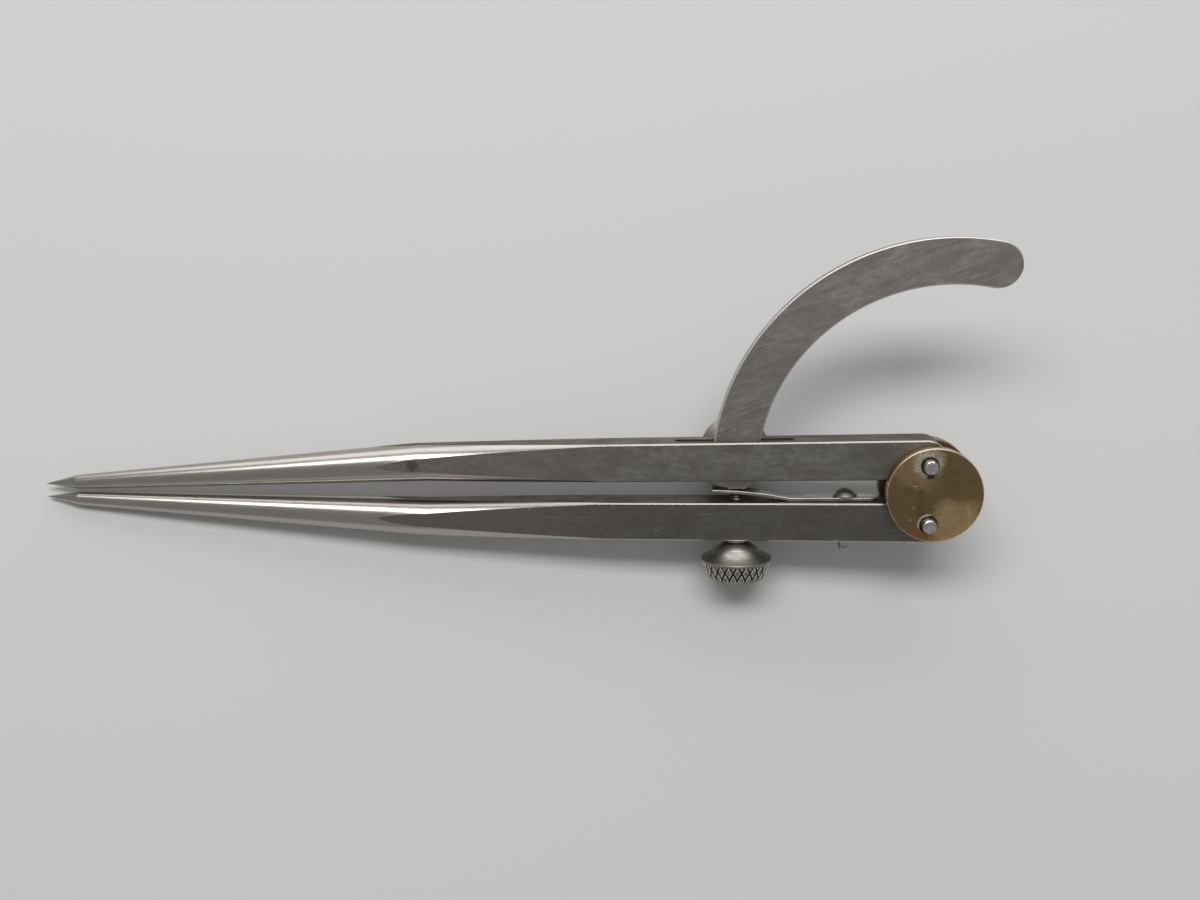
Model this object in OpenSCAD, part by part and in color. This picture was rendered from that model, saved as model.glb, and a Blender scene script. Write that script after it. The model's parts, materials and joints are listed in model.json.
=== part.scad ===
// Wing divider with a two-pin head, lying closed on a bench: points towards -X, wing towards +Y.
// The pieces are drawn about the middle of the pivot line, on the mid-plane of the legs. The whole
// tool is then tipped onto the round edges that it rests on, with the origin under its middle.

/* [Legs] */
// Width and thickness of a leg at the head
leg_w = 6.35; // [6.2:0.05:6.5]
// Width and thickness of a leg at its bend
leg_w_bend = 5.92; // [5.8:0.02:6]
// Distance between the axes of the two legs at the pivots
leg_spacing = 10.15; // [10.1:0.05:10.6]
// Lean of each closed leg towards the other, in degrees
toe_in = 0.38; // [0.2:0.02:0.4]
// Distance along a leg from its pivot to its bend
bend_at = 80; // [70:1:85]
// Bend of the round end towards the other leg, in degrees
bend = 2.75; // [2:0.05:2.8]
// Radius of the bend, on the axis of the leg
bend_r = 30; // [20:1:60]
// Length along a leg from its pivot to its point
leg_len = 144; // [130:1:146]
// Diameter of the round taper at the bend
taper_d_bend = 6.3; // [6.2:0.05:6.5]
// Diameter of the round taper where the ground point starts
taper_d_point = 2.3; // [1.8:0.1:2.4]
// Length of the ground point
point_len = 5.4; // [4:0.2:8]

/* [Head] */
// Distance between the two pivot pins
pin_spacing = 9.35; // [9.1:0.05:9.6]
// Diameter of a pivot pin
pin_d = 2.4; // [2.2:0.1:3]
// Height that a pin stands out of its disc
pin_proud = 1.45; // [1.2:0.05:2.5]
// Diameter of each brass disc
disc_d = 14.9; // [14.4:0.1:16]
// Thickness of each brass disc
disc_t = 2.4; // [1.6:0.1:3.2]
// Distance from the pivot line to the middle of the discs
disc_offset = 0.95; // [0:0.05:1.2]

/* [Wing] */
// Width of the wing
wing_w = 7.3; // [6.5:0.1:8]
// Thickness of the wing
wing_t = 2.4; // [2.3:0.1:2.6]
// Radius of the wing along its middle
wing_r = 33.6; // [33:0.1:34]
// Direction of the wing's round end from the middle of its arc, in degrees
wing_end = 78.5; // [60:0.5:88]
// Distance that the middle of the wing's arc lies past the pivot line
wing_x = 3.6; // [3.2:0.1:4]
// Distance that the middle of the wing's arc lies towards the upper leg
wing_y = 2.3; // [2:0.1:2.6]
// Length of the slot that the wing passes through
slot_len = 19; // [18:0.5:22]

/* [Fine adjustment] */
// Distance from the pivot line to the threaded stem of the wing
stem_at = 29.6; // [29:0.1:30]
// Diameter of the stem
stem_d = 2.2; // [1.8:0.1:2.2]
// Width of the leaf spring
spring_w = 3.2; // [3.2:0.1:4]
// Thickness of the leaf spring
spring_t = 0.5; // [0.3:0.05:0.5]
// Distance from the pivot line to the fixed end of the leaf spring
spring_from = 6.9; // [6.5:0.1:9]
// Distance from the pivot line to the kink where the leaf spring leaves the leg
kink_at = 21.2; // [19:0.1:22]
// Distance from the pivot line to the free end of the leaf spring
spring_to = 33.7; // [33:0.1:35]
// Height that the free end of the leaf spring stands off the leg
spring_rise = 1.34; // [1:0.02:1.34]
// Distance from the pivot line to the spring screw
screw_at = 12.3; // [11:0.1:14]
// Diameter of the spring screw
screw_d = 1.9; // [1.6:0.1:2.2]
// Diameter of the spring screw's round head
screw_head_d = 3.8; // [3.4:0.1:4.2]
// Height of the spring screw's round head
screw_head_h = 1.25; // [1:0.05:1.6]
// Length of the spring screw that shows past the lower leg
screw_proud = 2.1; // [0.5:0.1:3]

/* [Knobs] */
// Diameter of a knob at the dome's edge of its knurled rim
knob_d = 11.35; // [10.5:0.05:12]
// Diameter of a knob at its outer end
knob_end_d = 9.7; // [9:0.1:10]
// Height of a knob's domed shoulder
dome_h = 3.6; // [3:0.1:4]
// Height of a knob's knurled rim
rim_h = 3; // [2.5:0.1:3.5]
// Diameter of a knob's neck and of the clamp screw's shank
neck_d = 3.2; // [3:0.1:3.6]
// Length of the clamp screw's shank that shows between the upper leg and its knob
clamp_gap = 0.9; // [0.5:0.1:1.5]

/* [Hidden] */
$fn = 96;

steel = [0.42, 0.41, 0.39];
bright_steel = [0.66, 0.66, 0.65];
dark_steel = [0.33, 0.32, 0.30];
brass = [0.47, 0.38, 0.20];

// Clearances: pins that turn, pieces fixed together, flat faces that slide, wing in its slot
running_gap = 0.04;
fixed_gap = 0.01;
face_gap = 0.05;
slot_gap = 0.06;

// The part of a leg past its bend
far_len = leg_len - bend_at - bend_r * bend * PI / 180;
flat_slope = (leg_w - leg_w_bend) / bend_at;
taper_slope = (taper_d_bend - taper_d_point) / (far_len - point_len);
tip_d = 0.1;

// Length ahead of the bend over which the round taper cuts the corners of the square bar
corner_len = (sqrt(2) * leg_w_bend - taper_d_bend) / (taper_slope - sqrt(2) * flat_slope);
corner_margin = 1;

// Width of a leg, and the inner and outer faces of the upper leg, at a distance from the pivot line
function leg_width(s) = leg_w - flat_slope * s;
function axis_y(s) = leg_spacing / 2 - s * tan(toe_in);
function inner_y(s) = axis_y(s) - leg_width(s) / 2;
function outer_y(s) = axis_y(s) + leg_width(s) / 2;

disc_chamfer = 0.15;
disc_low = leg_w / 2 + face_gap;
pin_top = disc_low + disc_t + pin_proud;
pin_round = 0.5;
countersink = 0.25;

slot_h = wing_t + 2 * slot_gap;
slot_at = 29.9;
foot_dir = 182.3;
foot_y = wing_y + wing_r * sin(foot_dir);
foot_inset = 0.1;
foot_left = -stem_at - wing_w / 2 + foot_inset;
foot_right = wing_x - wing_r + wing_w / 2 - foot_inset;
foot_overlap = 0.5;
foot_drop = 0.6;
neck_half = 1.5;
neck_y = 0.06;
stem_hole_d = stem_d + 0.3;
stem_hole_len = 3.4;

knob_h = dome_h + rim_h;
knob_neck_h = 0.65;
knob_round = 0.25;
knob_chamfer = 0.3;
dome_swell = 0.12;
dome_steps = 12;

nut_y = outer_y(stem_at) + face_gap;
stem_inset = 0.8;
stem_y = nut_y + knob_h - stem_inset;
clamp_y = axis_y(stem_at);
clamp_z = leg_width(stem_at) / 2 + clamp_gap;

spring_seat = fixed_gap - inner_y(kink_at);
spring_bow = 1;
spring_steps = 8;
screw_seat = spring_seat + spring_t + fixed_gap;
screw_len = screw_seat + outer_y(screw_at) + screw_proud;
screw_head_edge = 0.3;
screw_chamfer = 0.35;
driver_slot_w = 0.5;
driver_slot_deep = 0.55;

// The lower leg's axis where its ground point starts, and where it ends
function far_point(s) = [
    -bend_at - bend_r * sin(bend) - s * cos(bend),
    bend_r * (1 - cos(bend)) + s * sin(bend)
];
function lower_axis(s) = let (p = far_point(s)) [
    p.x * cos(toe_in) + p.y * sin(toe_in),
    p.y * cos(toe_in) - p.x * sin(toe_in) - leg_spacing / 2,
    0
];
shoulder = lower_axis(far_len - point_len);
tip = lower_axis(far_len);

// The tool rests on the shoulder of the lower point, the clamp screw's end and the nut's rim
clamp_end = [-stem_at, clamp_y, -clamp_z - knob_h];
nut_edge = [-stem_at, -nut_y - knob_h + knob_chamfer, 0];
nut_end = [-stem_at, -nut_y - knob_h, 0];
end_r = knob_end_d / 2 - knob_chamfer;

// Lowest point of a round edge (centre, axis, radius) under a given upward direction
function low_point(centre, axis, r, up) = let (
    side = up - (up * axis) * axis
) centre - r * side / norm(side);

// Upward direction of the bench's plane through the three lowest points, found by repeated steps
function bench_up(up, steps) = steps == 0 ? up : let (
    a = low_point(shoulder, (tip - shoulder) / norm(tip - shoulder), taper_d_point / 2, up),
    b = low_point(clamp_end, [0, 0, 1], end_r, up),
    c = low_point(nut_edge, [0, 1, 0], knob_end_d / 2, up),
    n = cross(b - a, a - c)
) bench_up(n / norm(n), steps - 1);
up = bench_up([0.1, 0.3, 1], 12);
pitch = -atan2(up.x, up.z);
roll = atan2(up.y, norm([up.x, up.z]));
along_x = [cos(pitch), 0, sin(pitch)];
along_y = [sin(roll) * sin(pitch), cos(roll), -sin(roll) * cos(pitch)];

// How far a round plate (centre, axis, radius, thickness) reaches in a direction
function reach(dir, centre, axis, r, t) =
    dir * centre + r * norm(dir - (dir * axis) * axis) + abs(dir * axis) * t / 2;
wing_centre = [wing_x, wing_y, 0];
wing_end_centre = wing_centre + wing_r * [cos(wing_end), sin(wing_end), 0];
low_x = along_x * tip;
high_x = reach(along_x, wing_end_centre, [0, 0, 1], wing_w / 2, wing_t);
low_y = -reach(-along_y, nut_end, [0, 1, 0], end_r, 0);
high_y = reach(along_y, wing_centre, [0, 0, 1], wing_r + wing_w / 2, wing_t);
low_z = up * low_point(clamp_end, [0, 0, 1], end_r, up);
middle = [(low_x + high_x) / 2, (low_y + high_y) / 2, low_z];

module placed() {
    translate(-middle) rotate([roll, 0, 0]) rotate([0, pitch, 0]) children();
}

// Half of a round disc, on the +X side of its straight edge
module half_disc(d) {
    intersection() {
        circle(d = d);
        translate([0, -d / 2]) square(d);
    }
}

// Outline with straight sides and round ends, along X
module long_hole(len, width) {
    straight = len - width;
    square([straight, width], center = true);
    for (turn = [0, 180]) {
        rotate(turn) translate([straight / 2, 0]) half_disc(width);
    }
}

// Square bar that runs from the origin along -X and narrows evenly on all four faces
module square_bar(len, near_w, far_w) {
    outline = [[0, near_w / 2], [-len, far_w / 2], [-len, -far_w / 2], [0, -near_w / 2]];
    intersection() {
        linear_extrude(2 * near_w, center = true) polygon(outline);
        rotate([90, 0, 0]) linear_extrude(2 * near_w, center = true) polygon(outline);
    }
}

// The leg from its round head to its bend: square, with its corners turned away near the bend
module leg_near() {
    cone_len = corner_len + 2 * corner_margin;
    intersection() {
        square_bar(bend_at, leg_w, leg_w_bend);
        union() {
            translate([-bend_at, 0, 0]) rotate([0, 90, 0])
                cylinder(d1 = taper_d_bend, d2 = taper_d_bend + taper_slope * cone_len, h = cone_len);
            translate([corner_len + corner_margin - bend_at, -leg_w, -leg_w])
                cube([bend_at, 2 * leg_w, 2 * leg_w]);
        }
    }
    linear_extrude(leg_w, center = true) half_disc(leg_w);
}

// The leg from its bend to its point: a round taper whose flats run out, then the ground point
module leg_far() {
    profile = [
        [0, 0],
        [taper_d_bend / 2, 0],
        [taper_d_point / 2, far_len - point_len],
        [tip_d / 2, far_len],
        [0, far_len]
    ];
    intersection() {
        square_bar(far_len, leg_w_bend, leg_w_bend - flat_slope * far_len);
        rotate([0, -90, 0]) rotate_extrude() polygon(profile);
    }
}

// A whole leg along -X, bent towards -Y
module leg_blank() {
    leg_near();
    translate([-bend_at, -bend_r, 0]) {
        rotate(90) rotate_extrude(angle = bend) translate([bend_r, 0]) intersection() {
            square(leg_w_bend, center = true);
            circle(d = taper_d_bend);
        }
        rotate(bend) translate([0, bend_r, 0]) leg_far();
    }
}

module upper_side() {
    translate([0, leg_spacing / 2, 0]) rotate(toe_in) children();
}

module pin_hole(side, gap) {
    translate([0, side * pin_spacing / 2, 0])
        cylinder(d = pin_d + 2 * gap, h = 4 * leg_w, center = true);
}

// Rod along Y, for stems and holes, that starts at y and runs towards -Y
module cross_rod(at, y, d, len) {
    translate([-at, y, 0]) rotate([90, 0, 0]) cylinder(d = d, h = len);
}

module upper_leg() {
    color(steel) difference() {
        upper_side() leg_blank();
        pin_hole(1, running_gap);
        translate([-slot_at, leg_spacing, 0]) rotate([90, 0, 0]) linear_extrude(leg_spacing)
            long_hole(slot_len, slot_h);
        translate([-stem_at, clamp_y, -leg_w]) cylinder(d = neck_d + 2 * running_gap, h = leg_w);
    }
}

module lower_leg() {
    color(steel) difference() {
        mirror([0, 1, 0]) upper_side() leg_blank();
        pin_hole(-1, running_gap);
        cross_rod(stem_at, 0, stem_hole_d, leg_spacing);
        cross_rod(screw_at, 0, screw_d + 2 * fixed_gap, leg_spacing);
    }
}

// One brass disc on the front of the legs, with its two pin holes opened out at the face
module disc() {
    r = disc_d / 2;
    outline = [
        [0, 0], [r - disc_chamfer, 0], [r, disc_chamfer],
        [r, disc_t - disc_chamfer], [r - disc_chamfer, disc_t], [0, disc_t]
    ];
    color(brass) difference() {
        translate([disc_offset, 0, disc_low]) rotate_extrude() polygon(outline);
        for (side = [-1, 1]) {
            pin_hole(side, fixed_gap);
            translate([0, side * pin_spacing / 2, disc_low + disc_t - countersink])
                cylinder(d1 = pin_d, d2 = pin_d + 4 * countersink, h = 2 * countersink);
        }
    }
}

module front_disc() {
    disc();
}

module back_disc() {
    mirror([0, 0, 1]) disc();
}

// Steel pin with round-edged ends that stand out of both discs
module pivot_pin(side) {
    flat_r = pin_d / 2 - pin_round;
    color(bright_steel) translate([0, side * pin_spacing / 2, 0]) rotate_extrude() {
        for (end = [0, 1]) {
            mirror([0, end]) {
                square([pin_d / 2, pin_top - pin_round]);
                square([flat_r, pin_top]);
                translate([flat_r, pin_top - pin_round]) intersection() {
                    circle(r = pin_round);
                    square(pin_round);
                }
            }
        }
    }
}

module upper_pivot_pin() {
    pivot_pin(1);
}

module lower_pivot_pin() {
    pivot_pin(-1);
}

// Flat arc with a round end, and a foot that narrows to the threaded stem
module wing() {
    span = foot_dir - wing_end;
    foot = [
        [foot_left, foot_y + foot_overlap],
        [foot_left, foot_y],
        [-stem_at - neck_half, foot_y - foot_drop],
        [-stem_at - neck_half, neck_y],
        [-stem_at + neck_half, neck_y],
        [-stem_at + neck_half, foot_y - foot_drop],
        [foot_right, foot_y],
        [foot_right, foot_y + foot_overlap]
    ];
    color(steel) {
        translate([wing_x, wing_y, 0]) {
            rotate(wing_end) rotate_extrude(angle = span) translate([wing_r, 0])
                square([wing_w, wing_t], center = true);
            rotate(wing_end) translate([wing_r, 0, 0]) rotate(-90)
                linear_extrude(wing_t, center = true) half_disc(wing_w);
        }
        linear_extrude(wing_t, center = true) polygon(foot);
        cross_rod(stem_at, foot_y - foot_drop / 2, stem_d, stem_y + foot_y - foot_drop / 2);
    }
}

// Half outline of a knob: neck, domed shoulder, tapered rim, and an end with a small chamfer
function dome_point(u) = [
    neck_d / 2 + (knob_d / 2 - knob_round - neck_d / 2) * u,
    knob_neck_h + (dome_h - knob_round - knob_neck_h) * u - dome_swell * sin(360 * u)
];
knob_outline = concat(
    [[0, 0], [neck_d / 2, 0]],
    [for (step = [0:dome_steps]) dome_point(step / dome_steps)],
    [
        [knob_d / 2, dome_h],
        [knob_end_d / 2, knob_h - knob_chamfer],
        [knob_end_d / 2 - knob_chamfer, knob_h],
        [0, knob_h]
    ]
);

// Knob along +Z from the end of its neck
module knob() {
    rotate_extrude() polygon(knob_outline);
}

module adjusting_nut() {
    color(dark_steel) difference() {
        translate([-stem_at, -nut_y, 0]) rotate([90, 0, 0]) knob();
        cross_rod(stem_at, 0, stem_d + 2 * running_gap, nut_y + 2 * knob_h);
    }
}

module clamp_screw() {
    shank_len = clamp_z - wing_t / 2 - face_gap;
    color(dark_steel) translate([-stem_at, clamp_y, -clamp_z]) {
        mirror([0, 0, 1]) knob();
        cylinder(d = neck_d, h = shank_len);
    }
}

// Side outline of the leaf spring: flat on the lower leg, then a slight bow up to its free end
function spring_under(u) = [
    -kink_at - (spring_to - kink_at) * u,
    spring_seat + spring_rise * (u + spring_bow * u * (1 - u))
];
spring_line = concat(
    [[-spring_from, spring_seat]],
    [for (step = [0:spring_steps]) spring_under(step / spring_steps)]
);
spring_outline = concat(
    spring_line,
    [for (i = [len(spring_line) - 1:-1:0]) spring_line[i] + [0, spring_t]]
);

module leaf_spring() {
    round_x = -spring_from - spring_w / 2;
    color(bright_steel) difference() {
        intersection() {
            linear_extrude(spring_w, center = true) polygon(spring_outline);
            rotate([90, 0, 0]) linear_extrude(2 * leg_spacing, center = true) {
                translate([-spring_to, -spring_w / 2]) square([spring_to + round_x, spring_w]);
                translate([round_x, 0]) half_disc(spring_w);
            }
        }
        translate([-stem_at, leg_spacing, 0]) rotate([90, 0, 0]) linear_extrude(2 * leg_spacing)
            long_hole(stem_hole_len, stem_hole_d);
        cross_rod(screw_at, leg_spacing, screw_d + 2 * fixed_gap, 2 * leg_spacing);
    }
}

// Round-headed screw that holds the leaf spring and shows past the outer face of the lower leg
module spring_screw() {
    round_h = screw_head_h - screw_head_edge;
    dome_r = (pow(screw_head_d / 2, 2) + pow(round_h, 2)) / (2 * round_h);
    color(dark_steel) translate([-screw_at, screw_seat, 0]) rotate([-90, 0, 0]) difference() {
        union() {
            intersection() {
                translate([0, 0, screw_head_h - dome_r]) sphere(r = dome_r);
                cylinder(d = screw_head_d, h = 2 * screw_head_h);
            }
            translate([0, 0, screw_chamfer - screw_len])
                cylinder(d = screw_d, h = screw_len - screw_chamfer);
            translate([0, 0, -screw_len])
                cylinder(d1 = screw_d - 2 * screw_chamfer, d2 = screw_d, h = screw_chamfer);
        }
        translate([-screw_head_d, -driver_slot_w / 2, screw_head_h - driver_slot_deep])
            cube([2 * screw_head_d, driver_slot_w, screw_head_h]);
    }
}

placed() upper_leg();
placed() lower_leg();
placed() front_disc();
placed() back_disc();
placed() upper_pivot_pin();
placed() lower_pivot_pin();
placed() wing();
placed() adjusting_nut();
placed() leaf_spring();
placed() spring_screw();
placed() clamp_screw();
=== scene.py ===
import json

import bmesh
import bpy
import numpy as np
from mathutils import Matrix


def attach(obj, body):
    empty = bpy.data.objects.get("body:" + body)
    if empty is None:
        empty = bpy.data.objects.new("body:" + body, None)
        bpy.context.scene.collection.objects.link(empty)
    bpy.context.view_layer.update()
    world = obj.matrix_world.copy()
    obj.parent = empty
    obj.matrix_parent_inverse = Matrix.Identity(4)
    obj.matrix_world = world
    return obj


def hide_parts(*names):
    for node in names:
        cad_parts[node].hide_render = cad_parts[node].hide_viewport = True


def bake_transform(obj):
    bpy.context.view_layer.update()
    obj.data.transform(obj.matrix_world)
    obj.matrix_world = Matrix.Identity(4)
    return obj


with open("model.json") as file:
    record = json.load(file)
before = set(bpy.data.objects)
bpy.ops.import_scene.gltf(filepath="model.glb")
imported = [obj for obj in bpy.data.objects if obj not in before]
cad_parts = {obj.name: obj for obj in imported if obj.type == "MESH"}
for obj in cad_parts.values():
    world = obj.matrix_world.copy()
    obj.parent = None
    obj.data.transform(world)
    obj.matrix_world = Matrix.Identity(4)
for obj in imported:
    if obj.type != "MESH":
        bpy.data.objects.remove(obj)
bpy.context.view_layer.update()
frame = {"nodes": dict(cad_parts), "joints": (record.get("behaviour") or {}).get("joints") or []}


# Legs
# Two square steel bars, filed flat, then turned to a long round taper that runs out over the flats and
# ground to a point. Each is bent inwards a little and turns on its own pin of the head.
leg_w = 6.35
leg_w_bend = 5.92
leg_spacing = 10.15
toe_in = np.radians(0.38)
bend_at = 80.0
bend = np.radians(2.75)
bend_r = 30.0
leg_len = 144.0
taper_r_bend = 3.15
taper_r_point = 1.15
point_len = 5.4
edge_cut = 0.2
slot_at = 29.9
slot_len = 19.0
slot_h = 2.52
slot_margin = 1.3
slot_lip = 0.1
tip_r = 0.06
close_rows = (46.0, 92.0)
grain_apart = 40.0
same_place = 1e-7

shoulder_at = leg_len - point_len
flat_slope = (leg_w - leg_w_bend) / bend_at
taper_slope = (taper_r_bend - taper_r_point) / (shoulder_at - bend_at - bend_r * bend)

joints = {joint["name"]: joint for joint in frame["joints"]}
front = -np.array(joints["upper_leg_open"]["axis"])
across = np.array(joints["wing_feed"]["axis"])
tool_axes = np.array([np.cross(across, front), across, front])
upper_pin = np.array(joints["upper_leg_open"]["pos_m"])
lower_pin = np.array(joints["lower_leg_open"]["pos_m"])
pivot_middle = (upper_pin + lower_pin) / 2


def in_frame(points):
    """Tool millimetres (x to the head, y to the wing, z to the front) as metres in the part's frame:
    the middle between the pivots, plus each number along its own axis."""
    return pivot_middle + 0.001 * np.asarray(points) @ tool_axes


def wrapped_quads(rows, columns):
    """Quads of a grid that closes round its columns: a point, its neighbour, and the two in the next row."""
    here = np.arange(rows * columns).reshape(rows, columns)
    beside = np.roll(here, -1, axis=1)
    return np.stack([here[:-1], beside[:-1], beside[1:], here[1:]], axis=-1)


def steel_piece(name, points, quads, grain, finish, crease):
    """Mesh of quads, joined where points meet and with every face outwards. grain is each point's place
    along the working marks, finish how bright it was worked, and an edge between equal creases is sharp."""
    mesh = bpy.data.meshes.new(name)
    mesh.from_pydata(in_frame(points).tolist(), [], quads.tolist(), shade_flat=False)
    domain = "POINT" if len(finish) == len(points) else "FACE"
    grain_layer = mesh.attributes.new("grain", "FLOAT_VECTOR", "POINT")
    grain_layer.data.foreach_set("vector", grain.astype(np.float32).ravel())
    finish_layer = mesh.attributes.new("finish", "FLOAT", domain)
    finish_layer.data.foreach_set("value", finish.astype(np.float32))
    ends = np.empty(2 * len(mesh.edges), np.int32)
    mesh.edges.foreach_get("vertices", ends)
    first, second = crease[ends.reshape(-1, 2)].T
    sharp_layer = mesh.attributes.new("sharp_edge", "BOOLEAN", "EDGE")
    sharp_layer.data.foreach_set("value", (first == second) & (first > 0))
    shell = bmesh.new()
    shell.from_mesh(mesh)
    bmesh.ops.remove_doubles(shell, verts=shell.verts, dist=same_place)
    bmesh.ops.dissolve_degenerate(shell, edges=shell.edges, dist=same_place)
    bmesh.ops.recalc_face_normals(shell, faces=shell.faces)
    shell.to_mesh(mesh)
    shell.free()
    piece = bpy.data.objects.new(name, mesh)
    bpy.context.scene.collection.objects.link(piece)
    return piece


def long_hole(grid, s, v, w, rows, near, far, hole, lip):
    """A hole with round ends through a swept bar, as rings of points. The outer ring is the edge of the
    grid's window on each face. The mouth ring is at s = c1 + (c2 - c1) u -/+ r cos q, w = r sin q, where
    u is the share of the window's length and q its share of the width, as an angle. A lip leads inwards.
    Returns the new points (s, v, w), the quads that join them to the grid, and a crease for each ring."""
    first, last = rows
    middle, length, width = hole
    edges = []
    for columns in (near, far):
        edges.append(np.concatenate([
            grid[first, columns[:-1]], grid[first:last, columns[-1]],
            grid[last, columns[:0:-1]], grid[last:first:-1, columns[0]],
        ]))
    edge_s = np.repeat(s, grid.shape[1])[edges[0]]
    edge_w = w.ravel()[edges[0]]
    share = (edge_s - s[first]) / (s[last] - s[first])
    angle = np.pi / 2 * edge_w / np.abs(edge_w).max()

    def mouth(r):
        straight = length - width
        ends = np.where(share < 0.5, -1, 1) * r * np.cos(angle)
        return middle + straight * (share - 0.5) + ends, r * np.sin(angle)

    wide_s, wide_w = mouth(width / 2 + lip)
    hole_s, hole_w = mouth(width / 2)
    ring_s = np.stack([(edge_s + wide_s) / 2, wide_s, hole_s])
    ring_w = np.stack([(edge_w + wide_w) / 2, wide_w, hole_w])
    depth = np.array([0, 0, lip])[:, None]
    count = len(edge_s)
    points, quads, inner = [], [], []
    for columns, edge, turn in ((near, edges[0], 1), (far, edges[1], -1)):
        face = v[:, columns[len(columns) // 2]]
        ring_v = np.interp(ring_s, s, face) - turn * depth
        start = grid.size + len(points) * 3 * count
        rings = np.vstack([edge, start + np.arange(3 * count).reshape(3, count)])
        beside = np.roll(rings, -1, axis=1)
        quads.append(np.stack([rings[:-1], beside[:-1], beside[1:], rings[1:]], -1).reshape(-1, 4))
        points.append(np.stack([ring_s, ring_v, ring_w], -1).reshape(-1, 3))
        inner.append(rings[-1])
    walls = np.stack([inner[0], np.roll(inner[0], -1), np.roll(inner[1], -1), inner[1]], -1)
    crease = grid.size + 1 + np.repeat(np.arange(6), count)
    crease[(crease - grid.size) % 3 == 1] = 0
    return np.vstack(points), np.vstack(quads + [walls]), crease


def leg(name, side, slotted):
    """A leg along its own line s, which runs straight, round the bend by s / bend_r, and straight on.
    Its section is a square of half width h cut by a circle of radius r: r = r0 - slope s, at most just
    inside the corners, and a flat is as wide as the circle leaves it, acos(h / r) to each side.
    Finish is 0 on the front and back flats, 1 where it was turned, and 2 on the sides."""
    flat_count, arc_count, least_angle = 17, 7, np.radians(4)
    flat_share = np.concatenate([[-1, -0.97], np.linspace(-0.9, 0.9, flat_count - 4), [0.97, 1]])
    window = slot_len / 2 + slot_margin
    round_end = np.linspace(np.pi / 2, 0, 10)[:-1]
    s = np.concatenate([
        -leg_w / 2 * np.sin(round_end),
        np.linspace(0, slot_at - window, 14)[:-1],
        np.linspace(slot_at - window, slot_at + window, 41)[:-1],
        np.linspace(slot_at + window, close_rows[0], 6)[:-1],
        np.linspace(*close_rows, 93)[:-1],
        np.linspace(close_rows[1], shoulder_at, 40)[:-1],
        np.linspace(shoulder_at, leg_len - tip_r, 14),
        [leg_len],
    ])
    squash = np.concatenate([np.cos(round_end), np.ones(len(s) - len(round_end))])
    past = np.clip(s - bend_at - bend_r * bend, 0, None)
    half = (leg_w - flat_slope * (np.clip(s, 0, bend_at) + past)) / 2
    turned_r = taper_r_bend + taper_slope * (np.clip(bend_at - s, 0, None) - past)
    ground_r = np.interp(s, [shoulder_at, leg_len - tip_r, leg_len], [taper_r_point, tip_r, 0])
    radius = np.where(s > shoulder_at, ground_r, turned_r)
    corner = np.hypot(half, half - edge_cut)
    turned = (radius < corner)[:, None]
    radius = np.minimum(radius, corner)[:, None]
    crease_angle = np.arccos(np.clip(half[:, None] / np.maximum(radius, 1e-6), None, 1))
    flat_angle = np.maximum(crease_angle, least_angle)
    flat = np.arctan(flat_share * np.tan(flat_angle))
    arc = flat_angle + (np.pi / 2 - 2 * flat_angle) * np.arange(1, arc_count + 1) / (arc_count + 1)
    quarter = np.hstack([flat, arc])
    reach = np.hstack([np.minimum(radius, half[:, None] / np.cos(flat)), radius + 0 * arc])
    angle = np.hstack([quarter + k * np.pi / 2 for k in range(4)])
    v = np.tile(reach, 4) * np.cos(angle) * squash[:, None]
    w = np.tile(reach, 4) * np.sin(angle)

    grid = np.arange(angle.size).reshape(angle.shape)
    column = np.arange(angle.shape[1]) % quarter.shape[1]
    quads = wrapped_quads(*angle.shape)
    between = np.abs(quarter[:-1] + np.roll(quarter[:-1], -1, axis=1)) / 2
    round_face = np.tile((between > crease_angle[:-1]) | (column[: quarter.shape[1]] >= flat_count - 1), 4)
    side_face = np.arange(angle.shape[1]) // quarter.shape[1] % 2 == 0
    finish = np.where(round_face, 1, np.where(side_face, 2, 0))
    is_crease = ((column == 0) | (column == flat_count - 1)) & turned & (crease_angle > least_angle)
    crease = np.where(is_crease, np.arange(angle.shape[1]) + 1, 0)
    crease[np.searchsorted(s, shoulder_at)] = angle.size
    points = np.stack([np.broadcast_to(s[:, None], v.shape), v, w], -1).reshape(-1, 3)

    if slotted:
        first, last = np.searchsorted(s, np.array([slot_at - window, slot_at + window]) - 1e-6)
        near = np.arange(flat_count)
        far = np.arange(flat_count)[::-1] + 2 * quarter.shape[1]
        keep = np.ones(quads.shape[:2], bool)
        keep[first:last, near[:-1]] = False
        keep[first:last, far[1:]] = False
        hole = (slot_at, slot_len, slot_h)
        rows = (first, last)
        added, hole_quads, hole_crease = long_hole(grid, s, v, w, rows, near, far, hole, slot_lip)
        points = np.vstack([points, added])
        quads = np.vstack([quads[keep], hole_quads])
        finish = np.append(finish[keep], np.full(len(hole_quads), 2))
        crease = np.append(crease, hole_crease)
    quads, finish = quads.reshape(-1, 4), finish.ravel()

    turn = np.clip((points[:, 0] - bend_at) / bend_r, 0, bend)
    past = np.clip(points[:, 0] - bend_at - bend_r * bend, 0, None)
    x = -np.minimum(points[:, 0], bend_at) - (bend_r + points[:, 1]) * np.sin(turn) - past * np.cos(bend)
    y = (bend_r + points[:, 1]) * np.cos(turn) - bend_r - past * np.sin(bend)
    placed = np.stack([
        x * np.cos(toe_in) - y * np.sin(toe_in),
        side * (x * np.sin(toe_in) + y * np.cos(toe_in) + leg_spacing / 2),
        points[:, 2],
    ], -1)
    grain = points + [0, grain_apart * side, 0]
    piece = steel_piece(name, placed, quads, grain, finish, crease.ravel())
    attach(piece, name.removesuffix("_bar"))
    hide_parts(name.removesuffix("_bar"))
    return piece


upper_leg = leg("upper_leg_bar", 1, True)
lower_leg = leg("lower_leg_bar", -1, False)


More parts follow.
